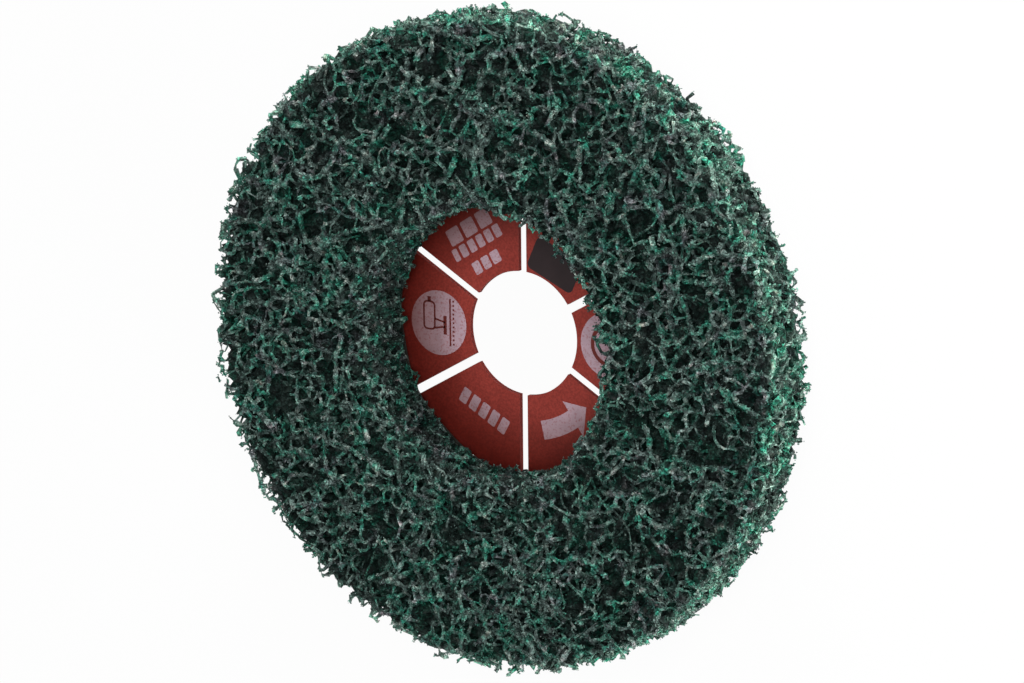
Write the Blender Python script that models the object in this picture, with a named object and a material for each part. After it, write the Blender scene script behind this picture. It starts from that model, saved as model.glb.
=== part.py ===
# Surface conditioning disc: an open web of grain-coated nylon strands, bonded to a slotted backing plate.
# Metres, +Z up. The disc lies on its backing plate, and the origin is the bore's centre on the rear face.

import math
import random

import bmesh
import bpy
from mathutils import Vector

# Driving dimensions of the disc
DISC_RADIUS = 0.0575
WELL_RADIUS = 0.0245
WEB_THICKNESS = 0.013
WEB_EDGE_RADIUS = 0.0023
PLATE_RADIUS = 0.0535
PLATE_THICKNESS = 0.0009
PLATE_EDGE_BEVEL = 0.00015
BORE_RADIUS = 0.011115
SLOT_COUNT = 6
SLOT_WIDTH = 0.0016
SLOT_END_RADIUS = 0.027
BOND_THICKNESS = 0.0004
BOND_SETBACK = 0.001
BOND_WAVE = 0.00025
SEAT_GAP = 0.0003

# The open web: pore spacing and depth, and how ragged the strands between the pores stand
PORE_PITCH = 0.0034
GLUED_PITCH = 0.0085
PORE_DEPTH = 0.0024
PORE_DEPTH_SPREAD = 0.5
PORE_ROOM_SHARE = 0.55
STRAND_RAGGEDNESS = 0.0006
PORE_SCATTER = 0.3
LONG_PORE_SHARE = 0.07
WEB_SEED = 28

# Facets round each circle
PLATE_FACETS = 120
BORE_FACETS = 72
BOND_FACETS = 72
BOND_WAVES = 9
SLOT_END_FACETS = 8

# Heights that follow from the layers
PLATE_TOP = PLATE_THICKNESS
BOND_BASE = PLATE_TOP + SEAT_GAP
BOND_TOP = BOND_BASE + BOND_THICKNESS
WEB_BASE = BOND_TOP + SEAT_GAP
WEB_TOP = WEB_BASE + WEB_THICKNESS


def clear_scene():
    for old in list(bpy.data.objects):
        bpy.data.objects.remove(old, do_unlink=True)


def finish(name, colour, roughness):
    material = bpy.data.materials.new(name)
    material.use_nodes = True
    shader = material.node_tree.nodes["Principled BSDF"]
    shader.inputs["Base Color"].default_value = (*colour, 1.0)
    shader.inputs["Roughness"].default_value = roughness
    shader.inputs["Metallic"].default_value = 0.0
    return material


def add_object(name, mesh, material=None):
    obj = bpy.data.objects.new(name, mesh)
    bpy.context.scene.collection.objects.link(obj)
    if material:
        obj.data.materials.append(material)
    return obj


def shade_round(obj, crease_degrees=35):
    """Smooth shading on a round piece, with its edges kept crisp."""
    obj.data.shade_smooth()
    obj.data.set_sharp_from_angle(angle=math.radians(crease_degrees))


def ring_point(radius, angle, height):
    return Vector((radius * math.cos(angle), radius * math.sin(angle), height))


# The web's section is a rounded rectangle, walked once round: rear face, rim, front face, well wall.
# Each station is (radius, height, spacing round the ring, scatter along the section, porous).
def web_stations():
    inner, outer = WELL_RADIUS, DISC_RADIUS
    edge = WEB_EDGE_RADIUS
    corner = edge * (1 - math.sqrt(0.5))
    row_step = PORE_PITCH * math.sqrt(0.75)

    def side(start, end, step, pitch, porous, first=0):
        length = (Vector(end) - Vector(start)).length
        count = max(1, round(length / step))
        points = []
        for k in range(first, count + 1):
            r, z = Vector(start).lerp(Vector(end), k / count)
            scatter = (Vector(end) - Vector(start)).normalized() * (length / count)
            points.append((r, z, pitch, scatter, porous))
        return points

    def corner_station(r, z):
        return [(r, z, PORE_PITCH, Vector((0.0, 0.0)), True)]

    stations = corner_station(inner + corner, WEB_BASE + corner)
    stations += side((inner + edge, WEB_BASE), (PLATE_RADIUS, WEB_BASE), GLUED_PITCH, GLUED_PITCH, False)
    stations += corner_station(outer - corner, WEB_BASE + corner)
    stations += side((outer, WEB_BASE + edge), (outer, WEB_TOP - edge), row_step, PORE_PITCH, True)
    stations += corner_station(outer - corner, WEB_TOP - corner)
    stations += side((outer - edge, WEB_TOP), (inner + edge, WEB_TOP), row_step, PORE_PITCH, True)
    stations += corner_station(inner + corner, WEB_TOP - corner)
    stations += side((inner, WEB_TOP - edge), (inner, WEB_BASE + edge), row_step, PORE_PITCH, True)
    return stations


def scattered_ring(bm, station, row, chance, porous_layer):
    """One ring of pore centres, evenly spaced and then scattered."""
    radius, height, pitch, along, porous = station
    count = max(8, round(2 * math.pi * radius / pitch))
    ring = []
    for k in range(count):
        turn = k + 0.5 * (row % 2)
        r, z = radius, height
        if porous:
            turn += PORE_SCATTER * chance.uniform(-1, 1)
            shift = along * PORE_SCATTER * chance.uniform(-1, 1)
            r, z = r + shift.x, z + shift.y
        vert = bm.verts.new(ring_point(r, 2 * math.pi * turn / count, z))
        vert[porous_layer] = int(porous)
        ring.append((turn / count, vert))
    return ring


def stitch(bm, lower, upper):
    """Fills the band between two rings with triangles, always stepping to the nearer next vertex."""
    i = j = 0
    while i < len(lower) or j < len(upper):
        next_lower = lower[(i + 1) % len(lower)][0] + (i + 1) // len(lower)
        next_upper = upper[(j + 1) % len(upper)][0] + (j + 1) // len(upper)
        here, there = lower[i % len(lower)][1], upper[j % len(upper)][1]
        if j >= len(upper) or (i < len(lower) and next_lower <= next_upper):
            i += 1
            bm.faces.new((here, lower[i % len(lower)][1], there))
        else:
            j += 1
            bm.faces.new((here, upper[j % len(upper)][1], there))


def fan_round(vert):
    """The faces round a vertex of a closed mesh, in order."""
    faces = []
    loop = vert.link_loops[0]
    while loop.face not in faces:
        faces.append(loop.face)
        loop = loop.link_loop_prev.link_loop_radial_next
    return faces


def pore_net(centres, porous_layer, chance):
    """The dual of the triangles: one cell for each pore centre, whose borders are the strands."""
    net = bmesh.new()
    pore_layer = net.faces.layers.int.new("pore")
    corner_of = {}
    for face in centres.faces:
        place = face.calc_center_median()
        if all(v[porous_layer] for v in face.verts):
            place += face.normal * STRAND_RAGGEDNESS * chance.uniform(-1, 1)
        corner_of[face.index] = net.verts.new(place)
    for vert in centres.verts:
        cell = net.faces.new([corner_of[f.index] for f in fan_round(vert)])
        cell[pore_layer] = vert[porous_layer]
    bmesh.ops.recalc_face_normals(net, faces=net.faces)
    net.faces.index_update()
    return net, pore_layer


def join_some_pores(net, pore_layer, chance):
    """Takes out a strand here and there, which leaves the long pores of a lofty web."""
    joined = set()
    cut = []
    for edge in net.edges:
        pair = {f.index for f in edge.link_faces}
        porous = all(f[pore_layer] for f in edge.link_faces)
        if chance.random() < LONG_PORE_SHARE and porous and not pair & joined:
            joined |= pair
            cut.append(edge)
    bmesh.ops.dissolve_edges(net, edges=cut, use_verts=False)


def section_room(place):
    """How far a place on the web's skin lies from the nearest corner of the web's section."""
    radius = math.hypot(place.x, place.y)
    across = min(radius - WELL_RADIUS, DISC_RADIUS - radius)
    through = min(place.z - WEB_BASE, WEB_TOP - place.z)
    return max(across, through)


def sink_pores(net, pore_layer, chance):
    """Draws the middle of each pore inward, which leaves the strands standing round it."""
    for face in [f for f in net.faces if f[pore_layer]]:
        inward = -face.normal.copy()
        room = section_room(face.calc_center_median())
        depth = min(PORE_DEPTH * chance.uniform(1 - PORE_DEPTH_SPREAD, 1), PORE_ROOM_SHARE * room)
        bottom = bmesh.ops.poke(net, faces=[face], center_mode="MEAN")["verts"][0]
        bottom.co += inward * depth


def abrasive_web():
    chance = random.Random(WEB_SEED)
    centres = bmesh.new()
    porous_layer = centres.verts.layers.int.new("porous")
    rings = [scattered_ring(centres, s, row, chance, porous_layer) for row, s in enumerate(web_stations())]
    for lower, upper in zip(rings, rings[1:] + rings[:1]):
        stitch(centres, lower, upper)
    bmesh.ops.recalc_face_normals(centres, faces=centres.faces)
    centres.faces.index_update()
    net, pore_layer = pore_net(centres, porous_layer, chance)
    centres.free()
    join_some_pores(net, pore_layer, chance)
    sink_pores(net, pore_layer, chance)
    bmesh.ops.triangulate(net, faces=net.faces)
    mesh = bpy.data.meshes.new("abrasive_web")
    net.to_mesh(mesh)
    net.free()
    add_object("abrasive_web", mesh, finish("web_green", (0.02, 0.09, 0.07), 0.85))


def drum(name, radius, base, top, facets):
    """A plain closed cylinder about the disc's axis."""
    bm = bmesh.new()
    ring = [bm.verts.new(ring_point(radius, 2 * math.pi * k / facets, base)) for k in range(facets)]
    floor = bm.faces.new(reversed(ring))
    raised = bmesh.ops.extrude_face_region(bm, geom=[floor])["geom"]
    for vert in (v for v in raised if isinstance(v, bmesh.types.BMVert)):
        vert.co.z = top
    bmesh.ops.recalc_face_normals(bm, faces=bm.faces)
    mesh = bpy.data.meshes.new(name)
    bm.to_mesh(mesh)
    bm.free()
    return mesh


def slot_mesh():
    """One radial slot with a round closed end, along +X from inside the bore, cut deeper than the plate."""
    half = SLOT_WIDTH / 2
    start = BORE_RADIUS / 2
    end_centre = SLOT_END_RADIUS - half
    outline = [(start, half), (start, -half)]
    for k in range(SLOT_END_FACETS + 1):
        swing = math.pi * (k / SLOT_END_FACETS - 0.5)
        outline.append((end_centre + half * math.cos(swing), half * math.sin(swing)))
    bm = bmesh.new()
    floor = bm.faces.new([bm.verts.new((x, y, -PLATE_THICKNESS)) for x, y in outline])
    raised = bmesh.ops.extrude_face_region(bm, geom=[floor])["geom"]
    for vert in (v for v in raised if isinstance(v, bmesh.types.BMVert)):
        vert.co.z = 2 * PLATE_THICKNESS
    bmesh.ops.recalc_face_normals(bm, faces=bm.faces)
    mesh = bpy.data.meshes.new("slot_cutter")
    bm.to_mesh(mesh)
    bm.free()
    return mesh


def cut_from(target, cutter):
    cutter.hide_render = True
    cutter.display_type = "WIRE"
    cut = target.modifiers.new(cutter.name, "BOOLEAN")
    cut.operation = "DIFFERENCE"
    cut.solver = "EXACT"
    cut.object = cutter


def backing_plate():
    blank = drum("backing_plate", PLATE_RADIUS, 0.0, PLATE_TOP, PLATE_FACETS)
    plate = add_object("backing_plate", blank, finish("plate_red", (0.24, 0.045, 0.03), 0.45))
    rounding = plate.modifiers.new("edge", "BEVEL")
    rounding.width = PLATE_EDGE_BEVEL
    rounding.segments = 1
    rounding.limit_method = "ANGLE"
    bore = drum("bore_cutter", BORE_RADIUS, -PLATE_THICKNESS, 2 * PLATE_THICKNESS, BORE_FACETS)
    cut_from(plate, add_object("bore_cutter", bore))
    shape = slot_mesh()
    for k in range(SLOT_COUNT):
        slot = add_object(f"slot_cutter_{k + 1}", shape)
        slot.rotation_euler.z = math.pi / 2 + 2 * math.pi * k / SLOT_COUNT
        cut_from(plate, slot)
    shade_round(plate)


def bond_layer():
    """The cured adhesive between plate and web: a thin ring with a slightly wavy spread."""
    bm = bmesh.new()
    inner, outer = [], []
    for k in range(BOND_FACETS):
        turn = 2 * math.pi * k / BOND_FACETS
        spread = BOND_WAVE * math.sin(BOND_WAVES * turn)
        inner.append(bm.verts.new(ring_point(WELL_RADIUS + BOND_SETBACK + spread, turn, BOND_BASE)))
        outer.append(bm.verts.new(ring_point(PLATE_RADIUS - BOND_SETBACK + spread, turn, BOND_BASE)))
    for k in range(BOND_FACETS):
        after = (k + 1) % BOND_FACETS
        bm.faces.new((inner[k], inner[after], outer[after], outer[k]))
    raised = bmesh.ops.extrude_face_region(bm, geom=list(bm.faces))["geom"]
    for vert in (v for v in raised if isinstance(v, bmesh.types.BMVert)):
        vert.co.z = BOND_TOP
    bmesh.ops.recalc_face_normals(bm, faces=bm.faces)
    mesh = bpy.data.meshes.new("bond_layer")
    bm.to_mesh(mesh)
    bm.free()
    shade_round(add_object("bond_layer", mesh, finish("bond_brown", (0.05, 0.03, 0.02), 0.4)))


def main():
    clear_scene()
    backing_plate()
    bond_layer()
    abrasive_web()


main()
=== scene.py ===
import math

import bpy
import numpy as np
from mathutils import Matrix, Vector, noise
from mathutils.kdtree import KDTree


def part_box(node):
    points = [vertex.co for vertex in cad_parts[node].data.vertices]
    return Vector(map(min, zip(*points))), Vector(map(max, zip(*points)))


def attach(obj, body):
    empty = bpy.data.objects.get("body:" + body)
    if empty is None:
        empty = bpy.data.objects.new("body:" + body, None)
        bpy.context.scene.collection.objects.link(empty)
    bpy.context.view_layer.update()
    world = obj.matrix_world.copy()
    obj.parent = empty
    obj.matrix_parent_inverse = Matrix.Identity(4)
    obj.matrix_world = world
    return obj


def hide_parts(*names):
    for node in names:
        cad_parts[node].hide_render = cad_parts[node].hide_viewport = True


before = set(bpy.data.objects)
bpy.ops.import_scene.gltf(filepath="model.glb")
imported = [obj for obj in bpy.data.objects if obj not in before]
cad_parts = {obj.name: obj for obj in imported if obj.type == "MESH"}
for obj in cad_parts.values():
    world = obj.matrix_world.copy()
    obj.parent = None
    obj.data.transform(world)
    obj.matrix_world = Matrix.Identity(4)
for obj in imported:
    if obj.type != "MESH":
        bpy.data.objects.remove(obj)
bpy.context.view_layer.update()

webLow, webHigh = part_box("abrasive_web")
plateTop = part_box("backing_plate")[1][2]
mm = 0.001


def cleanNodes(name):
    mat = bpy.data.materials.new(name)
    mat.use_nodes = True
    mat.node_tree.nodes.clear()
    return mat, mat.node_tree.nodes, mat.node_tree.links


def addNode(nodes, kind, **values):
    node = nodes.new(kind)
    for key, value in values.items():
        if hasattr(node, key):
            setattr(node, key, value)
        else:
            node.inputs[key].default_value = value
    return node


def shaderEnd(nodes, links):
    out = nodes.new("ShaderNodeOutputMaterial")
    shader = nodes.new("ShaderNodeBsdfPrincipled")
    links.new(shader.outputs["BSDF"], out.inputs["Surface"])
    return shader


def grey(value):
    return (value, value, value)


def rampColour(nodes, links, share, stops):  # each stop: where it stands between 0 and 1, and its colour
    ramp = nodes.new("ShaderNodeValToRGB")
    marks = ramp.color_ramp.elements
    while len(marks) < len(stops):
        marks.new(0.5)
    for mark, (place, colour) in zip(marks, stops):
        mark.position = place
        mark.color = (*colour, 1)
    links.new(share, ramp.inputs["Fac"])
    return ramp.outputs["Color"]


def noiseShare(nodes, links, coord, scale, detail, roughness=0.5):
    node = addNode(nodes, "ShaderNodeTexNoise", Scale=scale, Detail=detail, Roughness=roughness)
    links.new(coord, node.inputs["Vector"])
    return node.outputs["Fac"]


def mixColour(nodes, links, factor, first, second, blend="MIX"):
    mix = addNode(nodes, "ShaderNodeMix", data_type="RGBA", blend_type=blend)
    for name, given in (("Factor", factor), ("A", first), ("B", second)):
        if isinstance(given, bpy.types.NodeSocket):
            links.new(given, mix.inputs[name])
        elif isinstance(given, tuple):
            mix.inputs[name].default_value = (*given, 1)
        else:
            mix.inputs[name].default_value = given
    return mix.outputs["Result"]


def timesColour(nodes, links, first, second):
    return mixColour(nodes, links, 1.0, first, second, "MULTIPLY")


def mathNode(nodes, links, operation, first, second=None):
    node = addNode(nodes, "ShaderNodeMath", operation=operation)
    for socket, given in ((node.inputs[0], first), (node.inputs[1], second)):
        if isinstance(given, bpy.types.NodeSocket):
            links.new(given, socket)
        elif given is not None:
            socket.default_value = given
    return node.outputs[0]


def radiusAndHeight(nodes, links, coord):
    parts = nodes.new("ShaderNodeSeparateXYZ")
    links.new(coord, parts.inputs[0])
    x, y, z = parts.outputs
    squares = [mathNode(nodes, links, "MULTIPLY", side, side) for side in (x, y)]
    return mathNode(nodes, links, "SQRT", mathNode(nodes, links, "ADD", *squares)), z


def addBump(nodes, links, shader, height, strength, distance):
    bump = addNode(nodes, "ShaderNodeBump", Strength=strength, Distance=distance)
    links.new(height, bump.inputs["Height"])
    links.new(bump.outputs["Normal"], shader.inputs["Normal"])


def meshPiece(name, places, polys, sides, mat):  # polys: all corners in one list, sides: corners of each face
    mesh = bpy.data.meshes.new(name)
    mesh.vertices.add(len(places))
    mesh.vertices.foreach_set("co", np.asarray(places, dtype=np.float32).ravel())
    mesh.loops.add(len(polys))
    mesh.loops.foreach_set("vertex_index", np.asarray(polys, dtype=np.int32))
    starts = np.concatenate(([0], np.cumsum(sides)[:-1])).astype(np.int32)
    mesh.polygons.add(len(sides))
    mesh.polygons.foreach_set("loop_start", starts)
    mesh.polygons.foreach_set("loop_total", np.asarray(sides, dtype=np.int32))
    mesh.polygons.foreach_set("use_smooth", np.zeros(len(sides), dtype=bool))
    mesh.update(calc_edges=True)
    mesh.validate()
    piece = bpy.data.objects.new(name, mesh)
    bpy.context.scene.collection.objects.link(piece)
    piece.data.materials.append(mat)
    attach(piece, "root")
    return piece


# Lengths in these tables are in mm, and angles in degrees where nothing else is said.

web = {
    "outer": (webHigh[0] - webLow[0]) / 2 / mm - 0.4,   # where the strands are cut at the rim
    "inner": 24.0,
    "base": webLow[2] / mm + 0.3,
    "top": webHigh[2] / mm - 0.5,
    # waves of the rim and the well: height, how many round the disc, radians per mm upward and at the start
    "waves": [(0.3, 17, 1.3, 0), (0.25, 29, -0.9, 1), (0.25, 53, 0.7, 2)],
    "shellDepth": 3.5,       # how far below the skin the strands are made
    "ragged": 0.14,          # by how much cut ends stand proud or short
    "touch": 0.6,            # between the middles of two strands that are taken to touch
    "ringLumps": 0.6,        # share of a strand's lumps that differs round each ring
    "seed": 11,
}

trunks = {                   # the long thick filaments, which run under the skin of the web
    "count": 150,
    "length": 38,
    "step": 0.5,             # between rings along a strand
    "curl": 0.44,            # how fast a strand bends, per mm
    "deepest": 1.2,          # under the skin, where a strand turns back up
    "radius": (0.30, 0.50),
    "lumps": 0.5,            # share by which the grain coat swells and shrinks
    "sides": 6,
    "endSwell": 0.6,         # thickness of the first and last ring beside the others
}

threads = {                  # the long thin ones, some of them deeper
    "count": 345,
    "length": 24,
    "step": 0.6,
    "curl": 0.42,
    "deepest": 2.4,
    "radius": (0.13, 0.24),
    "lumps": 0.35,
    "sides": 4,
    "endSwell": 0.7,
}

wander = {                   # how both kinds of long strand run
    "tries": 12,             # places drawn for each strand, since most lie too deep
    "flat": 0.8,             # share of its slope toward the skin that a strand loses at its start
    "keep": 0.92,            # share of its bend that it keeps from ring to ring
    "fresh": 0.38,           # and how much bend is new
    "shallowest": 0.3,       # under the skin, where it turns back down
    "fade": 0.8,             # distance over which it turns back
    "turnBack": 0.5,         # how hard it does so at each ring
    "cutLimits": (-1.2, 0.6),    # the most that a cut end stands short or proud
    "fewest": 4,             # rings in the shortest stretch that is kept
    "held": 2,               # rings that have to touch the net
}

struts = {                   # the short strands that join up into the net round the pores
    "spacing": 1.74,         # between the joints of the net
    "scatter": 1.0,          # how far the joints stray from an even spacing
    "below": 0.3,            # under the base, where their spacing starts
    "margin": 0.45,          # outside the skin, up to which joints are placed before the cut
    "topGap": 0.1,           # between the working face and the nearest joints
    "crowding": 1.4,         # by how much joints drift together and apart
    "crowdScale": 4.5,
    "drifts": (0.0, 31.4, 67.9),     # where in the noise the drift along each axis is read
    "openScale": 5.0,        # between the bigger pores
    "openness": -0.36,       # the higher, the more of them
    "openSkin": 0.24,        # how much higher at the working face
    "openEdge": -0.36,       # and at the rim and the well
    "openFade": 2.0,         # distance over which both fade
    "edgeFull": 0.5,         # share of that distance in which the latter still holds in full
    "neighbours": 12,        # how many of the nearest joints are looked at
    "cutLimits": (-0.8, 0.5),
    "shortest": 0.25,
    "points": 3,             # along each strut
    "bow": 0.16,             # share of its length by which a strut bends
    "radius": (0.17, 0.40),
    "lumps": 0.5,
    "sides": 3,
    "endSwell": 1.2,
    "parts": 3,
}


def unit(v):
    return v / np.maximum(np.linalg.norm(v, axis=-1, keepdims=True), 1e-9)


def webDepth(p, proud=0.0):  # depth under the nearest open face of the web
    r = np.hypot(p[..., 0], p[..., 1])
    turn = np.arctan2(p[..., 1], p[..., 0])
    wave = sum(size * np.sin(count * turn + twist * p[..., 2] + start)
               for size, count, twist, start in web["waves"])
    rim = web["outer"] + wave + proud - r
    well = r - web["inner"] + wave + proud
    return np.minimum(np.minimum(rim, well), web["top"] - p[..., 2])


def skinWay(p):  # the way out through the nearest open face, and how deep under it each point lies
    r = np.hypot(p[:, 0], p[:, 1])
    away = np.stack([p[:, 0] / r, p[:, 1] / r, 0 * r], axis=1)
    depths = np.stack([web["outer"] - r, r - web["inner"], web["top"] - p[:, 2]], axis=1)
    ways = np.stack([away, -away, np.broadcast_to((0.0, 0.0, 1.0), away.shape)], axis=1)
    return ways[np.arange(len(p)), depths.argmin(axis=1)], depths.min(axis=1)


def walk(p, t, kind, dice):  # all strands of a kind at once, bent at random and turned back at the skin
    step = kind["step"]
    steps = int(kind["length"] / step)
    bend = dice.normal(size=p.shape) * kind["curl"]
    line = np.zeros((len(p), steps, 3))
    for k in range(steps):
        line[:, k] = p
        bend = wander["keep"] * bend + wander["fresh"] * kind["curl"] * dice.normal(size=p.shape)
        t = t + bend * step
        way, depth = skinWay(p)
        tooDeep = np.clip((depth - kind["deepest"]) / wander["fade"], 0, 1)
        tooHigh = np.clip((wander["shallowest"] - depth) / wander["fade"], 0, 1)
        tooLow = np.clip(1 - (p[:, 2] - web["base"]) / wander["fade"], 0, 1)
        t += (wander["turnBack"] * (tooDeep - tooHigh))[:, None] * way
        t[:, 2] += wander["turnBack"] * tooLow
        t = unit(t)
        p = p + t * step
        p[:, 2] = np.clip(p[:, 2], web["base"], web["top"])
    return line


def growLong(kind, dice):
    tries = wander["tries"] * kind["count"]
    r = np.sqrt(dice.uniform(web["inner"] ** 2, web["outer"] ** 2, tries))
    turn = dice.uniform(0, 2 * math.pi, tries)
    p = np.stack([r * np.cos(turn), r * np.sin(turn), dice.uniform(web["base"], web["top"], tries)], axis=1)
    p = p[skinWay(p)[1] < kind["deepest"]][:kind["count"]]
    way = skinWay(p)[0]
    t = dice.normal(size=p.shape)
    t -= wander["flat"] * (t * way).sum(axis=1, keepdims=True) * way
    return list(walk(p, unit(t), kind, dice))


def cutToWeb(lines, kind, dice):  # the stretches of each strand that lie near an open face
    pieces = []
    for path in lines:
        proud = np.clip(dice.normal() * web["ragged"], *wander["cutLimits"])
        depth = webDepth(path, proud - kind["radius"][0])
        here = (depth > 0) & (depth < web["shellDepth"])
        edges = np.flatnonzero(np.diff(np.concatenate(([0], here.view(np.int8), [0]))))
        for start, end in zip(edges[::2], edges[1::2]):
            if end - start >= wander["fewest"]:
                pieces.append(path[start:end])
    return pieces


def placeTree(points):
    tree = KDTree(len(points))
    for k, place in enumerate(points):
        tree.insert(place, k)
    tree.balance()
    return tree


def heldLines(lines, short):  # the stretches that lie on the net of short strands, so that none floats
    tree = placeTree(short.reshape(-1, 3))
    touching = [sum(tree.find(place)[2] < web["touch"] for place in path) for path in lines]
    return [path for path, count in zip(lines, touching) if count >= wander["held"]]


def scatterJoints(dice):
    spacing, margin = struts["spacing"], struts["margin"]
    reach = web["outer"] + margin
    across = int(2 * reach / spacing) + 1
    high = int((web["top"] - web["base"]) / spacing) + 1
    cells = np.indices((across, across, high)).reshape(3, -1).T
    p = (cells + 0.5 + struts["scatter"] * dice.uniform(-0.5, 0.5, cells.shape)) * spacing
    p += (-reach, -reach, web["base"] - struts["below"])
    depth = webDepth(p)
    p = p[(depth > -2 * margin) & (depth < web["shellDepth"] + margin)]
    drift = [[noise.noise(Vector(place / struts["crowdScale"] + drift)) for drift in struts["drifts"]]
             for place in p]
    p += struts["crowding"] * np.array(drift)
    p[:, 2] = np.clip(p[:, 2], web["base"], web["top"] - struts["topGap"])
    depth = webDepth(p)
    p = p[(depth > -margin) & (depth < web["shellDepth"])]
    r = np.hypot(p[:, 0], p[:, 1])
    fromEdge = np.minimum(web["outer"] - r, r - web["inner"])
    nearTop = np.clip(1 - (web["top"] - p[:, 2]) / struts["openFade"], 0, 1)
    nearEdge = np.clip(1 + struts["edgeFull"] - fromEdge / struts["openFade"], 0, 1)
    openness = struts["openness"] + struts["openSkin"] * nearTop + struts["openEdge"] * nearEdge
    density = np.array([noise.noise(Vector(place / struts["openScale"])) for place in p])
    return p[density > openness]


def joinJoints(p):  # pairs of joints with no third joint nearer to both than they are to each other
    tree = placeTree(p)
    near = np.array([[found[1] for found in tree.find_n(place, struts["neighbours"] + 1)][1:] for place in p])
    apart = np.linalg.norm(p[near] - p[:, None], axis=2)
    between = np.linalg.norm(p[near][:, :, None] - p[near][:, None], axis=3)
    shut = (np.maximum(apart[:, None, :], between) < apart[:, :, None] - 1e-9)
    shut &= ~np.eye(near.shape[1], dtype=bool)[None]
    good = ~shut.any(axis=2)
    first = np.repeat(np.arange(len(p)), near.shape[1])[good.ravel()]
    second = near.ravel()[good.ravel()]
    return np.unique(np.sort(np.stack([first, second], axis=1), axis=1), axis=0)


def largestNet(count, pairs):  # which of the joints hang together in the largest net
    label = np.arange(count)
    while True:
        lowest = label.copy()
        np.minimum.at(lowest, pairs[:, 0], label[pairs[:, 1]])
        np.minimum.at(lowest, pairs[:, 1], label[pairs[:, 0]])
        lowest = lowest[lowest]
        if (lowest == label).all():
            return label == np.bincount(label).argmax()
        label = lowest


def cutEnd(inner, outer, depthIn, depthOut):  # the outer end of each strut, or where it crosses the skin
    past = depthOut < 0
    share = np.clip(depthIn / np.where(past, depthIn - depthOut, 1), 0, 1)
    return np.where(past[:, None], inner + (outer - inner) * share[:, None], outer)


def growStruts(dice):  # a curved line between each two joints, cut off at the skin of the web
    p = scatterJoints(dice)
    pairs = joinJoints(p)
    inside = webDepth(p) > 0
    held = largestNet(len(p), pairs[inside[pairs].all(axis=1)])
    pairs = pairs[(held & inside)[pairs].any(axis=1)]
    a, b = p[pairs[:, 0]], p[pairs[:, 1]]
    proud = np.clip(dice.normal(size=len(pairs)) * web["ragged"], *struts["cutLimits"])
    depthA, depthB = webDepth(a, proud), webDepth(b, proud)
    keep = (depthA > 0) | (depthB > 0)
    a, b, depthA, depthB = a[keep], b[keep], depthA[keep], depthB[keep]
    start, end = cutEnd(b, a, depthB, depthA), cutEnd(a, b, depthA, depthB)
    length = np.linalg.norm(end - start, axis=1)
    keep = length > struts["shortest"]
    start, end, length = start[keep], end[keep], length[keep]
    along = np.linspace(0, 1, struts["points"])[None, :, None]
    bow = dice.normal(size=start.shape) * length[:, None] * struts["bow"]
    lines = start[:, None] * (1 - along) + end[:, None] * along + bow[:, None] * 4 * along * (1 - along)
    lines[:, :, 2] = np.clip(lines[:, :, 2], web["base"], web["top"])
    return lines


def skinStrands(lines, dice, kind):  # one lumpy tube round each line of points, all lines equally long
    count, n = lines.shape[:2]
    sides, lumps = kind["sides"], kind["lumps"]
    t = unit(np.gradient(lines, axis=1))
    u = np.zeros_like(lines)
    side = np.cross(t[:, 0], (0.3, 0.5, 0.8))   # any way that isn't along a strand will do here
    for k in range(n):
        side = unit(side - (side * t[:, k]).sum(axis=1, keepdims=True) * t[:, k])
        u[:, k] = side
    v = np.cross(t, u)
    turn = np.arange(sides) * 2 * math.pi / sides
    swell = dice.uniform(*kind["radius"], (count, 1, 1)) * (1 + lumps * dice.uniform(-1, 1, (count, n, 1)))
    swell = swell * (1 + web["ringLumps"] * lumps * dice.uniform(-1, 1, (count, n, sides)))
    swell[:, [0, -1]] *= kind["endSwell"]
    ring = u[:, :, None] * np.cos(turn)[:, None] + v[:, :, None] * np.sin(turn)[:, None]
    return lines[:, :, None] + ring * swell[..., None]


def tubeFaces(n, sides, first):
    k = np.arange(n - 1)[:, None] * sides
    a = np.arange(sides)[None, :]
    b = (a + 1) % sides
    quads = np.stack([k + a, k + b, k + sides + b, k + sides + a], axis=2).reshape(-1)
    caps = np.concatenate([np.arange(sides)[::-1], (n - 1) * sides + np.arange(sides)])
    first = np.asarray(first).reshape(-1, 1)
    return (quads + first).ravel(), (caps + first).ravel()


def buildStrands(name, groups, kind, dice, material):  # each group: lines with equally many points
    places, quads, caps = [], [], []
    sides = kind["sides"]
    first = 0
    for lines in groups:
        count, n = lines.shape[:2]
        q, c = tubeFaces(n, sides, first + np.arange(count) * n * sides)
        places.append(skinStrands(lines, dice, kind).reshape(-1, 3))
        quads.append(q)
        caps.append(c)
        first += count * n * sides
    quads = np.concatenate(quads)
    caps = np.concatenate(caps)
    polys = np.concatenate([quads, caps])
    corners = np.concatenate([np.full(len(quads) // 4, 4), np.full(len(caps) // sides, sides)])
    print(f"{name}: {2 * len(quads) // 4 + len(caps) // sides * (sides - 2)} triangles")
    piece = meshPiece(name, np.concatenate(places) * mm, polys, corners, material)
    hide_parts("abrasive_web")


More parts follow.
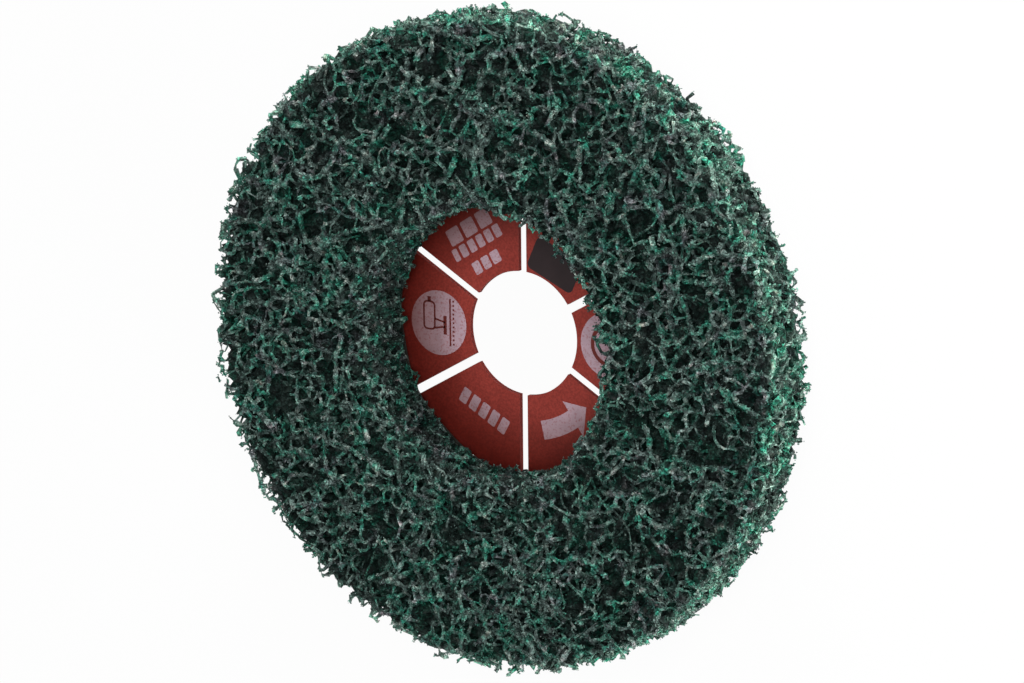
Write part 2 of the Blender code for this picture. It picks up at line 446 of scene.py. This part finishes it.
webColours = {
    "greenGrey": [(0.30, (0.022, 0.033, 0.031)), (0.44, (0.050, 0.079, 0.071)),
                  (0.58, (0.107, 0.158, 0.142)), (0.72, (0.212, 0.238, 0.216))],
    "teal": [(0.30, (0.012, 0.070, 0.050)), (0.46, (0.018, 0.165, 0.112)),
             (0.62, (0.096, 0.208, 0.163)), (0.76, (0.220, 0.200, 0.170))],
    "toneScale": 620.0,      # how fine the change of tone along the strands is, like the other scales here
    "patchScale": 330.0,
    "tealShare": (0.455, 0.625),     # the lower these two, the more teal there is
    "dust": (1.22, 0.88, 1.04),      # tint of the dusty patches
    "dustScale": 260.0,
    "dustShare": (0.53, 0.66),       # the lower these two, the further the dust spreads
    "grainScale": 3600.0,
    "grainTones": [(0.0, 0.24), (0.6, 0.79), (1.0, 2.0)],    # from the darkest grains to the palest
    "grainBump": (0.6, 0.0001),      # strength, and height in metres
    "paintedDepthShade": (0.47, 0.66, 0.62),     # painted shade: tone of the strands deep down beside those at the surface
    "deepFrom": 0.12,        # share of the depth where that begins
    "deepAt": 3.0,           # depth where it is full
    "paintedRimLight": (1.74, 1.87, 1.72),       # painted light: the rim is made lighter than the face, standing in for the light that falls on its side
    "paintedRimLightFrom": 1.8,          # in from the rim, where that begins
    "roughness": 0.7,
    "gloss": 0.15,
}


def webMaterial(name, level=1.0, paintedRimLightLift=1.0):  # tone of all grains, lowered for the deep web as painted shade, and the share of painted rim light on the grains at the rim beside them
    mat, nodes, links = cleanNodes(name)
    shader = shaderEnd(nodes, links)
    coord = nodes.new("ShaderNodeTexCoord").outputs["Object"]
    patches = noiseShare(nodes, links, coord, webColours["patchScale"], 5.0, 0.65)
    strandTone = noiseShare(nodes, links, coord, webColours["toneScale"], 4.0)
    dust = noiseShare(nodes, links, coord, webColours["dustScale"], 5.0)
    grain = addNode(nodes, "ShaderNodeTexVoronoi", Scale=webColours["grainScale"])
    links.new(coord, grain.inputs["Vector"])

    low, high = webColours["tealShare"]
    patchShare = rampColour(nodes, links, patches, [(low, grey(0)), (high, grey(1))])
    greenGrey = rampColour(nodes, links, strandTone, webColours["greenGrey"])
    teal = rampColour(nodes, links, strandTone, webColours["teal"])
    base = mixColour(nodes, links, patchShare, greenGrey, teal)
    low, high = webColours["dustShare"]
    dustTint = rampColour(nodes, links, dust, [(low, grey(1.0)), (high, webColours["dust"])])
    dusty = timesColour(nodes, links, base, dustTint)
    grainTone = nodes.new("ShaderNodeSeparateColor")
    links.new(grain.outputs["Color"], grainTone.inputs["Color"])
    grainTones = [(place, grey(tone * level)) for place, tone in webColours["grainTones"]]
    grainShade = rampColour(nodes, links, grainTone.outputs["Red"], grainTones)
    grainy = timesColour(nodes, links, dusty, grainShade)

    # painted shade: the strands grow darker with their depth under the nearest open face
    radius, height = radiusAndHeight(nodes, links, coord)
    fromRim = mathNode(nodes, links, "SUBTRACT", web["outer"] * mm, radius)
    fromWell = mathNode(nodes, links, "SUBTRACT", radius, web["inner"] * mm)
    fromTop = mathNode(nodes, links, "SUBTRACT", web["top"] * mm, height)
    depth = mathNode(nodes, links, "MINIMUM", mathNode(nodes, links, "MINIMUM", fromRim, fromWell), fromTop)
    deep = mathNode(nodes, links, "DIVIDE", depth, webColours["deepAt"] * mm)
    deepStops = [(webColours["deepFrom"], grey(1.0)), (1.0, webColours["paintedDepthShade"])]
    shaded = timesColour(nodes, links, grainy, rampColour(nodes, links, deep, deepStops))
    # painted light: the grains grow lighter toward the rim
    inward = mathNode(nodes, links, "DIVIDE", fromRim, webColours["paintedRimLightFrom"] * mm)
    rimLightShare = rampColour(nodes, links, inward, [(0.0, grey(1.0)), (1.0, grey(0.0))])
    paintedRimLight = tuple(paintedRimLightLift * tone for tone in webColours["paintedRimLight"])
    rimLightTint = mixColour(nodes, links, rimLightShare, grey(1.0), paintedRimLight)

    links.new(timesColour(nodes, links, shaded, rimLightTint), shader.inputs["Base Color"])
    shader.inputs["Roughness"].default_value = webColours["roughness"]
    shader.inputs["Specular IOR Level"].default_value = webColours["gloss"]
    addBump(nodes, links, shader, grain.outputs["Distance"], *webColours["grainBump"])
    return mat


deepWeb = {                  # the dark mass of strands inside, which closes the view through the pores; its dark colour is painted shade for the pores
    "inset": 2.4,            # below the working face
    "rimInset": 1.5,
    "wellInset": 0.9,
    "clear": 0.1,            # above the base
    "corner": 1.3,           # radius of its edges
    "cornerSteps": 6,
    "edgeLift": 1.1,         # how far its top rises toward the rim and the well
    "liftFrom": 0.78,        # shares of the way out where that begins, and over which it grows
    "liftOver": 0.15,
    "footEven": 2.5,         # up from the base, over which the pores reach their full depth
    "footLeast": 0.15,       # share of it that they have at the base
    "cell": 3.0,             # across a pore
    "poreDepth": 2.4,
    "rimShare": 0.8,         # depth of the pores at the rim beside the others
    "wallSharp": 2.2,        # how steeply the walls between pores rise
    "wallRise": 0.9,         # how far they rise
    "swell": 0.7,            # how much the whole swells and sinks
    "rimSwell": 1.1,         # how much more at the rim
    "swellScale": 0.9,
    "rough": 0.2,
    "sunk": 0.05,            # how far below the strands' base it may reach
    "rows": 100,
    "columns": 350,
    "rowShares": (0.15, 2.6, 1.0, 1.4),  # how close the rows lie at the base, the rim, the face and the well
    # painted shade: tone of the deep web's grains beside those of the strands
    "level": 0.29,
    # painted light: how much more the deep web is lightened at the rim than the strands
    "paintedRimLightLift": 1.7,
}


def sectionLoop():  # the deep web's rounded section, walked once round, with the outward way at each point
    low = web["base"] + deepWeb["clear"]
    high = web["top"] - deepWeb["inset"]
    inner = web["inner"] + deepWeb["wellInset"]
    outer = web["outer"] - deepWeb["rimInset"]
    corner, steps = deepWeb["corner"], deepWeb["cornerSteps"]
    pins = [(inner, low), (outer, low), (outer, high), (inner, high)]
    path = []
    for k, (r, z) in enumerate(pins):
        start = math.pi + k * math.pi / 2
        cr = r + (corner if k in (0, 3) else -corner)
        cz = z + (corner if k in (0, 1) else -corner)
        for j in range(steps + 1):
            a = start + j * math.pi / 2 / steps
            path.append((cr + corner * math.cos(a), cz + corner * math.sin(a)))
    path = np.array(path + path[:1])
    r, z = ((path[1:] + path[:-1]) / 2).T
    away = np.abs([z - low, outer - r, high - z, r - inner])
    share = np.array(deepWeb["rowShares"])[away.argmin(axis=0)]
    runs = np.concatenate(([0], np.cumsum(share * np.linalg.norm(np.diff(path, axis=0), axis=1))))
    at = np.linspace(0, runs[-1], deepWeb["rows"], endpoint=False)
    points = np.stack([np.interp(at, runs, path[:, 0]), np.interp(at, runs, path[:, 1])], axis=1)
    fromMiddle = np.abs(points[:, 0] - (inner + outer) / 2) / ((outer - inner) / 2)
    lift = deepWeb["edgeLift"] * np.clip((fromMiddle - deepWeb["liftFrom"]) / deepWeb["liftOver"], 0, 1)
    points[:, 1] += lift * (points[:, 1] > (low + high) / 2)
    tangent = unit(np.roll(points, -1, axis=0) - np.roll(points, 1, axis=0))
    return points, np.stack([tangent[:, 1], -tangent[:, 0]], axis=1)


def spun(pairs, columns):  # radius and height of each row, turned round the axis
    turn = np.arange(columns) * 2 * math.pi / columns
    cos, sin = np.cos(turn)[None, :, None], np.sin(turn)[None, :, None]
    r, z = pairs[:, 0][:, None, None], pairs[:, 1][:, None, None]
    return np.concatenate([r * cos, r * sin, z + 0 * cos], axis=2).reshape(-1, 3)


def buildDeepWeb(material):
    dice = np.random.default_rng(web["seed"] + 1)
    rows, columns = deepWeb["rows"], deepWeb["columns"]
    loop, ways = sectionLoop()
    rimward = np.clip(np.repeat(ways[:, 0], columns), 0, 1)
    share = 1 - (1 - deepWeb["rimShare"]) * rimward
    places, out = spun(loop, columns), spun(ways, columns)
    push = np.empty(len(places))
    footShare = np.clip(deepWeb["footLeast"] + (places[:, 2] - web["base"]) / deepWeb["footEven"], 0, 1)
    for k, place in enumerate(places):
        near = noise.voronoi(Vector(place / deepWeb["cell"]))[0]
        pore = min(1.0, (near[1] - near[0]) * deepWeb["wallSharp"])
        swell = deepWeb["swell"] + deepWeb["rimSwell"] * rimward[k]
        push[k] = deepWeb["wallRise"] - deepWeb["poreDepth"] * share[k] * pore
        push[k] += swell * noise.noise(Vector(place * deepWeb["swellScale"]))
        push[k] *= footShare[k]
    places = places + out * push[:, None] + dice.normal(size=places.shape) * deepWeb["rough"]
    places[:, 2] = np.maximum(places[:, 2], web["base"] - deepWeb["sunk"])
    k = np.arange(rows)[:, None] * columns
    kk = (np.arange(rows)[:, None] + 1) % rows * columns
    a = np.arange(columns)[None, :]
    b = (a + 1) % columns
    quads = np.stack([k + a, k + b, kk + b, kk + a], axis=2).reshape(-1)
    piece = meshPiece("deepWeb", places * mm, quads, np.full(len(quads) // 4, 4), material)
    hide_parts("abrasive_web")
    return places


grit = {
    "count": 147000,
    "size": (0.11, 0.28),    # from the middle of a grain to its corners
    "uneven": 0.45,          # how far the corners stray from an even shape
    "parts": 3,
    "onTrunks": 0.28,        # shares of the grains
    "onThreads": 0.10,
    "onJoints": 0.20,        # the joints and cut ends of the short strands
    "onDeep": 0.14,
    "jointDepth": 2.2,       # how deep the struts lie that have grains on their joints
    "deepDepth": 3.2,        # and the part of the deep web that has any
    "proud": 0.05,           # by how much the middle of a grain stands off its strand
}


def strandSeats(lines, kind, count, dice):  # places spread over the surface of the strands
    points = np.concatenate(lines)
    seat = points[dice.integers(0, len(points), count)]
    reach = sum(kind["radius"]) / 2 + grit["proud"]
    return seat + unit(dice.normal(size=(count, 3))) * reach


def buildGrit(deepPlaces, material):
    dice = np.random.default_rng(web["seed"] + 2)
    count = grit["count"] // grit["parts"]
    ends = [line[[0, -1]] for line in shortLines]
    ends = [pair for pair in ends if webDepth(pair).min() < grit["jointDepth"]]
    deepPlaces = [deepPlaces[webDepth(deepPlaces) < grit["deepDepth"]]]
    groups = [(trunkLines, trunks, "onTrunks"), (threadLines, threads, "onThreads"),
              (ends, struts, "onJoints"), (deepPlaces, threads, "onDeep")]
    base = np.array([(1, 1, 1), (1, -1, -1), (-1, 1, -1), (-1, -1, 1)])
    tri = np.array([(0, 1, 2), (0, 3, 1), (0, 2, 3), (1, 3, 2)])
    for part in range(grit["parts"]):
        seats = [strandSeats(lines, kind, int(count * grit[share]), dice) for lines, kind, share in groups]
        rest = count - sum(len(seat) for seat in seats)
        seat = np.concatenate(seats + [strandSeats(list(shortLines), struts, rest, dice)])
        corner = unit(dice.normal(size=(count, 4, 3)) * grit["uneven"] + base)
        spin = np.linalg.qr(dice.normal(size=(count, 3, 3)))[0]
        corner = np.einsum("nij,nkj->nki", spin, corner) * dice.uniform(*grit["size"], (count, 1, 1))
        flip = np.linalg.det(spin) < 0
        tris = np.where(flip[:, None, None], tri[:, ::-1][None], tri[None])
        tris = tris + 4 * np.arange(count)[:, None, None]
        places = (seat[:, None] + corner).reshape(-1, 3) * mm
        piece = meshPiece(f"webGrit{part + 1}", places, tris.reshape(-1), np.full(4 * count, 3), material)
        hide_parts("abrasive_web")


print("web: materials")
webMat = webMaterial("grainCoatedWeb")
# the deep web's material is darkened as painted shade and lightened at the rim as painted light
deepWebShadedMat = webMaterial("deepWeb", deepWeb["level"], deepWeb["paintedRimLightLift"])

print("web: strands")
dice = np.random.default_rng(web["seed"])
trunkLines = cutToWeb(growLong(trunks, dice), trunks, dice)
threadLines = cutToWeb(growLong(threads, dice), threads, dice)
shortLines = growStruts(dice)
trunkLines = heldLines(trunkLines, shortLines)
threadLines = heldLines(threadLines, shortLines)
print(f"{len(trunkLines)} trunks, {len(threadLines)} threads, {len(shortLines)} struts")
buildStrands("webTrunks", [line[None] for line in trunkLines], trunks, dice, webMat)
buildStrands("webThreads", [line[None] for line in threadLines], threads, dice, webMat)
for part in range(struts["parts"]):
    buildStrands(f"webStruts{part + 1}", [shortLines[part::struts["parts"]]], struts, dice, webMat)

print("web: deep web and grit")
deepPlaces = buildDeepWeb(deepWebShadedMat)
buildGrit(deepPlaces, webMat)


plate = {
    "red": (0.448, 0.062, 0.046),
    "deepRed": (0.355, 0.046, 0.034),
    "cloudScale": 90.0,      # the soft clouds of deeper red
    "fibreScale": 2600.0,
    "flecks": (0.8, 1.15),   # tones of the darkest and palest fibres
    "fibreBump": (0.25, 0.00005),    # strength, and height in metres
    "roughness": 0.38,
    "gloss": 0.4,
    "paintedShadeFrom": 15.0,       # from the axis: painted shade darkens the plate from here to the foot of the web
    "paintedShadeTo": 25.5,
    "paintedShadeTurn": 215.0,      # the side where the painted shade on the plate is darkest
    "paintedShadeShift": 2.0,       # how far the ring of painted shade leans to that side
    # tones of the painted shade half way out and at the foot of the web
    "halfPaintedShade": (0.60, 0.54, 0.51),
    "paintedShade": (0.33, 0.22, 0.19),
    "edge": 0.72,            # tone of the sawn edges beside the face
    "edgeRoughness": 0.95,
    "edgeFrom": 0.12,        # how far inside the faces the edges' look is full
}

bond = {
    "tones": [(0.3, (0.020, 0.018, 0.016)), (0.7, (0.055, 0.060, 0.050))],
    "cloudScale": 700.0,
    "cloudBump": (0.5, 0.0002),
    "roughness": 0.45,
}


# painted shade: a ring that darkens the plate and its print toward the foot of the web, leaning to one side
def paintedShadeRing(nodes, links, coord, colour):
    side = math.radians(plate["paintedShadeTurn"])
    lean = plate["paintedShadeShift"] * mm
    shifted = addNode(nodes, "ShaderNodeVectorMath", operation="ADD")
    links.new(coord, shifted.inputs[0])
    shifted.inputs[1].default_value = (lean * math.cos(side), lean * math.sin(side), 0.0)
    radius = radiusAndHeight(nodes, links, shifted.outputs[0])[0]
    past = mathNode(nodes, links, "SUBTRACT", radius, plate["paintedShadeFrom"] * mm)
    share = mathNode(nodes, links, "DIVIDE", past, (plate["paintedShadeTo"] - plate["paintedShadeFrom"]) * mm)
    stops = [(0.0, grey(1.0)), (0.5, plate["halfPaintedShade"]), (1.0, plate["paintedShade"])]
    return timesColour(nodes, links, colour, rampColour(nodes, links, share, stops))


def faceShare(nodes, links, height, level, way):  # 1 at the face at that level, and 0 on the edges inside it
    above = mathNode(nodes, links, "SUBTRACT", height, level)
    inside = mathNode(nodes, links, "MULTIPLY", above, way / mm)
    share = mathNode(nodes, links, "DIVIDE", inside, plate["edgeFrom"])
    return rampColour(nodes, links, share, [(0.0, grey(1.0)), (1.0, grey(0.0))])


def plateMaterial(low, high):  # heights of the rear face and the front face, in the plate's own coordinates
    mat, nodes, links = cleanNodes("brickRedFibre")
    shader = shaderEnd(nodes, links)
    coord = nodes.new("ShaderNodeTexCoord").outputs["Object"]
    clouds = noiseShare(nodes, links, coord, plate["cloudScale"], 4.0)
    fibres = noiseShare(nodes, links, coord, plate["fibreScale"], 2.0)
    cloudShare = rampColour(nodes, links, clouds, [(0.3, grey(0.0)), (0.7, grey(1.0))])
    base = mixColour(nodes, links, cloudShare, plate["deepRed"], plate["red"])
    dark, pale = plate["flecks"]
    fleck = rampColour(nodes, links, fibres, [(0.35, grey(dark)), (0.65, grey(pale))])
    flecked = timesColour(nodes, links, base, fleck)

    height = radiusAndHeight(nodes, links, coord)[1]
    front = faceShare(nodes, links, height, high, -1)
    faces = mathNode(nodes, links, "MAXIMUM", front, faceShare(nodes, links, height, low, 1))
    # painted shade near the foot of the web, on the front face only
    withPaintedShade = mixColour(nodes, links, front, flecked, paintedShadeRing(nodes, links, coord, flecked))
    edgeTone = mixColour(nodes, links, faces, grey(plate["edge"]), grey(1.0))
    links.new(timesColour(nodes, links, withPaintedShade, edgeTone), shader.inputs["Base Color"])
    dullStops = [(0.0, grey(plate["edgeRoughness"])), (1.0, grey(plate["roughness"]))]
    links.new(rampColour(nodes, links, faces, dullStops), shader.inputs["Roughness"])
    shader.inputs["Specular IOR Level"].default_value = plate["gloss"]
    addBump(nodes, links, shader, fibres, *plate["fibreBump"])
    return mat


def bondMaterial():
    mat, nodes, links = cleanNodes("darkResin")
    shader = shaderEnd(nodes, links)
    coord = nodes.new("ShaderNodeTexCoord").outputs["Object"]
    clouds = noiseShare(nodes, links, coord, bond["cloudScale"], 3.0)
    links.new(rampColour(nodes, links, clouds, bond["tones"]), shader.inputs["Base Color"])
    shader.inputs["Roughness"].default_value = bond["roughness"]
    addBump(nodes, links, shader, clouds, *bond["cloudBump"])
    return mat


def dress(node, material):
    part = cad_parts[node]
    part.data.materials.clear()
    part.data.materials.append(material)


print("plate and bond layer")
plateHeights = [corner.co.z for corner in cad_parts["backing_plate"].data.vertices]
dress("backing_plate", plateMaterial(min(plateHeights), max(plateHeights)))
dress("bond_layer", bondMaterial())


marks = {                    # the print on the plate's front
    "lift": 0.012,           # between the plate and the ink, and between one ink and the next
    "film": 0.02,            # thickness of the ink
    "pale": (0.70, 0.49, 0.57),
    "line": (0.210, 0.030, 0.024),
    "dark": (0.042, 0.026, 0.028),
    "roughness": 0.5,
    "speckScale": 2400.0,    # specks where the plate shows through worn ink
    "speckShare": (0.30, 0.48),
    "cloudScale": 300.0,
    "cloudTones": (0.85, 1.1),
    "rimFacets": 64,
    "barCorner": 0.3,
    # rows of bars: distance from the axis, height, widths and the gap between bars
    "upperTurn": 122,
    "upperRows": [(21.0, 3.0, (2.9, 2.9, 2.9), 0.7),
                  (17.9, 2.3, (1.2, 1.5, 1.5, 1.5, 1.5, 1.5), 0.55),
                  (14.1, 2.3, (1.7, 1.7, 1.9), 0.5)],
    "lowerTurn": 241,
    "lowerRows": [(17.2, 2.9, (1.7, 1.7, 1.7, 1.7, 1.7), 0.6)],
    # arrow: distance from the axis, width, where it starts and ends, and the head's width and length
    "arrow": (17.4, 3.4, 283, 306, 7.2, 12),
    "leftRound": (-17.8, -0.2, 5.86),    # middle and radius
    "rightRound": (17.8, 0.0, 5.9),
    "ring": (17.8, 0.0, 3.5),
    "ringWidth": 0.7,
    "patch": (10.0, 6.2, 1.0),   # width, height and corner radius
    "patchLean": -24.2,
    "patchMiddle": (6.6, 12.95),
}


def inkMaterial(name, colour, worn):
    mat, nodes, links = cleanNodes(name)
    shader = shaderEnd(nodes, links)
    coord = nodes.new("ShaderNodeTexCoord").outputs["Object"]
    specks = noiseShare(nodes, links, coord, marks["speckScale"], 3.0)
    clouds = noiseShare(nodes, links, coord, marks["cloudScale"], 2.0)
    low, high = marks["speckShare"]
    wear = rampColour(nodes, links, specks, [(low, grey(worn)), (high, grey(0.0))])
    dark, pale = marks["cloudTones"]
    tone = rampColour(nodes, links, clouds, [(0.3, grey(dark)), (0.7, grey(pale))])
    toned = timesColour(nodes, links, mixColour(nodes, links, wear, colour, plate["red"]), tone)
    # the print gets the same painted shade as the plate
    links.new(paintedShadeRing(nodes, links, coord, toned), shader.inputs["Base Color"])
    shader.inputs["Roughness"].default_value = marks["roughness"]
    return mat


def circleAt(x, y, radius):
    turn = np.arange(marks["rimFacets"]) * 2 * math.pi / marks["rimFacets"]
    return np.stack([x + radius * np.cos(turn), y + radius * np.sin(turn)], axis=1)


def roundedBox(x, y, width, height, radius, steps=5):
    outline = []
    for k, (sx, sy) in enumerate(((1, 1), (-1, 1), (-1, -1), (1, -1))):
        for j in range(steps):
            a = (k + j / (steps - 1)) * math.pi / 2
            outline.append((x + sx * (width / 2 - radius) + radius * math.cos(a),
                            y + sy * (height / 2 - radius) + radius * math.sin(a)))
    return np.array(outline)


def around(radius, a):
    return (radius * math.cos(a), radius * math.sin(a))


def curvedArrow(radius, width, start, end, headWidth, headTurn, steps=14):  # angles about the disc's axis
    sweep = np.radians(np.linspace(start, end, steps))
    neck, tip = sweep[-1], math.radians(end + headTurn)
    points = [around(radius + width / 2, a) for a in sweep]
    points += [around(radius + headWidth / 2, neck), around(radius, tip)]
    points += [around(radius - headWidth / 2, neck)]
    points += [around(radius - width / 2, a) for a in sweep[::-1]]
    return np.array(points)


def turnedOut(outline, degrees):  # takes x along the tangent and y outward, and gives the disc's x and y
    a = math.radians(degrees)
    x, y = outline[:, 0], outline[:, 1]
    return np.stack([y * math.cos(a) + x * math.sin(a), y * math.sin(a) - x * math.cos(a)], axis=1)


def barRow(radius, height, widths, gap):
    total = sum(widths) + gap * (len(widths) - 1)
    x = -total / 2
    bars = []
    for width in widths:
        bars.append(roundedBox(x + width / 2, radius, width, height, marks["barCorner"]))
        x += width + gap
    return bars


def barField(rows, degrees):
    return [turnedOut(bar, degrees) for row in rows for bar in barRow(*row)]


def leaningPatch():
    x, y = roundedBox(0, 0, *marks["patch"]).T
    lean = math.radians(marks["patchLean"])
    middleX, middleY = marks["patchMiddle"]
    return np.stack([x * math.cos(lean) - y * math.sin(lean) + middleX,
                     x * math.sin(lean) + y * math.cos(lean) + middleY], axis=1)


def stroke(points, width):  # a drawn line of even width through the points, closed if it ends where it began
    p = np.array(points, dtype=float)
    closed = np.allclose(p[0], p[-1])
    step = np.diff(p, axis=0)
    way = step / np.linalg.norm(step, axis=1, keepdims=True)
    before = np.vstack([way[-1:] if closed else way[:1], way])
    after = np.vstack([way, way[:1] if closed else way[-1:]])
    mean = before + after
    mean /= np.linalg.norm(mean, axis=1, keepdims=True)
    stretch = 1 / np.maximum((mean * after).sum(axis=1), 0.5)
    across = np.stack([-mean[:, 1], mean[:, 0]], axis=1) * stretch[:, None] * width / 2
    left, right = p + across, p - across
    return [np.array([right[k], right[k + 1], left[k + 1], left[k]]) for k in range(len(p) - 1)]


def closedStroke(outline, width):
    return stroke(np.vstack([outline, outline[:1]]), width)


def printMarks(name, outlines, layer, material):
    low = plateTop / mm + marks["lift"] + layer * (marks["lift"] + marks["film"])
    places, polys, corners = [], [], []
    first = 0
    for outline in outlines:
        if np.cross(outline[1] - outline[0], outline[2] - outline[1]) < 0:
            outline = outline[::-1]
        n = len(outline)
        places += [(x, y, low) for x, y in outline] + [(x, y, low + marks["film"]) for x, y in outline]
        polys += [first + k for k in reversed(range(n))] + [first + n + k for k in range(n)]
        corners += [n, n]
        for k in range(n):
            after = (k + 1) % n
            polys += [first + k, first + after, first + n + after, first + n + k]
            corners.append(4)
        first += 2 * n
    piece = meshPiece(name, np.array(places) * mm, polys, corners, material)


figure = {                   # a grinder seen from the side, over the face that it works on
    "pen": 0.34,             # width of the drawn lines
    "middle": (-17.9, 0.1),
    "body": (2.3, 5.0),
    "bodyShift": (-1.9, 0.9),
    "bodyCorner": 0.7,
    "knob": 0.9,             # length of the stub on the body's end
    "headUp": 1.0,           # from the body's other end to the middle of its head
    "neckBody": (1.0, -0.7),     # where the neck's two lines leave the body, up and down from that
    "neckGuard": (0.5, -0.3),    # and where they meet the guard
    "guard": 3.4,
    "guardGap": 1.1,         # between the guard and the work
    "work": 8.6,             # length of the line that stands for the work
    "workAt": 2.55,
    "dots": 11,
    "dotSize": 0.36,
    "dotCorner": 0.1,
    "dotsAt": 3.25,
}


def uprightLine(x, y, length, width):
    return stroke([(x, y - length / 2), (x, y + length / 2)], width)


def grinderPicture():
    x, y = figure["middle"]
    pen = figure["pen"]
    wide, high = figure["body"]
    bodyX, bodyY = x + figure["bodyShift"][0], y + figure["bodyShift"][1]
    top = bodyY + high / 2
    head = bodyY - high / 2 + figure["headUp"]
    guardX = x + figure["workAt"] - figure["guardGap"]
    lines = closedStroke(roundedBox(bodyX, bodyY, wide, high, figure["bodyCorner"]), pen)
    lines += stroke([(bodyX, top), (bodyX, top + figure["knob"])], pen * 2)
    for atBody, atGuard in zip(figure["neckBody"], figure["neckGuard"]):
        lines += stroke([(bodyX + wide / 2, head + atBody), (guardX, head + atGuard)], pen)
    lines += uprightLine(guardX, head, figure["guard"], pen * 2)
    lines += uprightLine(x + figure["workAt"], y, figure["work"], pen)
    gap = figure["work"] / figure["dots"]
    size = figure["dotSize"]
    for k in range(figure["dots"]):
        dotY = y + (k - figure["dots"] / 2 + 0.5) * gap
        lines.append(roundedBox(x + figure["dotsAt"], dotY, size, size, figure["dotCorner"]))
    return lines


print("print on the plate")
paleInk = inkMaterial("paleInk", marks["pale"], 0.55)
redLine = inkMaterial("redLineInk", marks["line"], 0.1)
darkInk = inkMaterial("darkInk", marks["dark"], 0.0)
printMarks("upperBars", barField(marks["upperRows"], marks["upperTurn"]), 0, paleInk)
printMarks("lowerBars", barField(marks["lowerRows"], marks["lowerTurn"]), 0, paleInk)
printMarks("turnArrow", [curvedArrow(*marks["arrow"])], 0, paleInk)
printMarks("paleRound", [circleAt(*marks["leftRound"])], 0, paleInk)
printMarks("paleRoundRight", [circleAt(*marks["rightRound"])], 0, paleInk)
printMarks("grinderPicture", grinderPicture(), 1, redLine)
printMarks("ringMark", closedStroke(circleAt(*marks["ring"]), marks["ringWidth"]), 1, redLine)
printMarks("darkPatch", [leaningPatch()], 0, darkInk)


stage = {                    # lengths in metres from here on
    "floorHalf": 3.0,
    "floorDrop": 0.0002,     # below the plate
    "floorGrey": 0.9,
    "floorWhite": 0.95,      # share of plain white in what the camera sees of the floor
    "worldLevel": 0.2,
    "aim": (0, 0, 0.008),
}

lights = {                   # where each hangs, its size, and its power in watts
    "rightLight": ((0.56, -0.38, 0.07), 0.3, 7.5),
    "upperLight": ((0.06, 0.68, 0.07), 0.3, 9.4),
    "topLight": ((0.30, 0.2, 0.62), 0.5, 3.0),
}

camera = {
    "lens": 127.08,
    "sensor": 36,
    "place": (0.3354, 0.1463, 0.5158),
    "right": (0.8374, -0.0100, -0.5464),
    "up": (-0.1196, 0.9722, -0.2011),
    "back": (0.5333, 0.2337, 0.8130),
    "nearest": 0.01,
}


def floorMaterial():
    mat, nodes, links = cleanNodes("paleFloor")
    out = nodes.new("ShaderNodeOutputMaterial")
    paint = addNode(nodes, "ShaderNodeBsdfDiffuse", Color=(*grey(stage["floorGrey"]), 1))
    white = addNode(nodes, "ShaderNodeEmission", Color=(1, 1, 1, 1), Strength=1.0)
    mix = nodes.new("ShaderNodeMixShader")
    rays = nodes.new("ShaderNodeLightPath").outputs
    seen = mathNode(nodes, links, "MAXIMUM", rays["Is Camera Ray"], rays["Is Glossy Ray"])
    seen = mathNode(nodes, links, "MAXIMUM", seen, rays["Is Transmission Ray"])
    links.new(mathNode(nodes, links, "MULTIPLY", seen, stage["floorWhite"]), mix.inputs["Fac"])
    links.new(paint.outputs[0], mix.inputs[1])
    links.new(white.outputs[0], mix.inputs[2])
    links.new(mix.outputs[0], out.inputs["Surface"])
    return mat


def makeFloor():
    half = stage["floorHalf"]
    corners = [(sx * half, sy * half, -stage["floorDrop"]) for sx, sy in ((-1, -1), (1, -1), (1, 1), (-1, 1))]
    mesh = bpy.data.meshes.new("floor")
    mesh.from_pydata(corners, [], [(0, 1, 2, 3)])
    floor = bpy.data.objects.new("floor", mesh)
    bpy.context.scene.collection.objects.link(floor)
    floor.data.materials.append(floorMaterial())


def makeWorld():
    world = bpy.data.worlds.new("studio")
    bpy.context.scene.world = world
    world.use_nodes = True
    sky = world.node_tree.nodes["Background"]
    sky.inputs["Color"].default_value = (1, 1, 1, 1)
    sky.inputs["Strength"].default_value = stage["worldLevel"]


def aimedLight(name, place, size, power):
    data = bpy.data.lights.new(name, "AREA")
    data.shape = "SQUARE"
    data.size = size
    data.energy = power
    lamp = bpy.data.objects.new(name, data)
    bpy.context.scene.collection.objects.link(lamp)
    lamp.location = place
    lamp.rotation_euler = (Vector(stage["aim"]) - Vector(place)).to_track_quat("-Z", "Y").to_euler()


def makeCamera():
    data = bpy.data.cameras.new("photoCamera")
    data.lens = camera["lens"]
    data.sensor_width = camera["sensor"]
    data.clip_start = camera["nearest"]
    cam = bpy.data.objects.new("photoCamera", data)
    bpy.context.scene.collection.objects.link(cam)
    turn = Matrix([camera[axis] for axis in ("right", "up", "back")]).transposed()
    cam.matrix_world = Matrix.Translation(camera["place"]) @ turn.to_4x4()
    bpy.context.scene.camera = cam


print("stage")
makeFloor()
makeWorld()
for name, given in lights.items():
    aimedLight(name, *given)
makeCamera()
bpy.context.scene.view_settings.view_transform = "Standard"
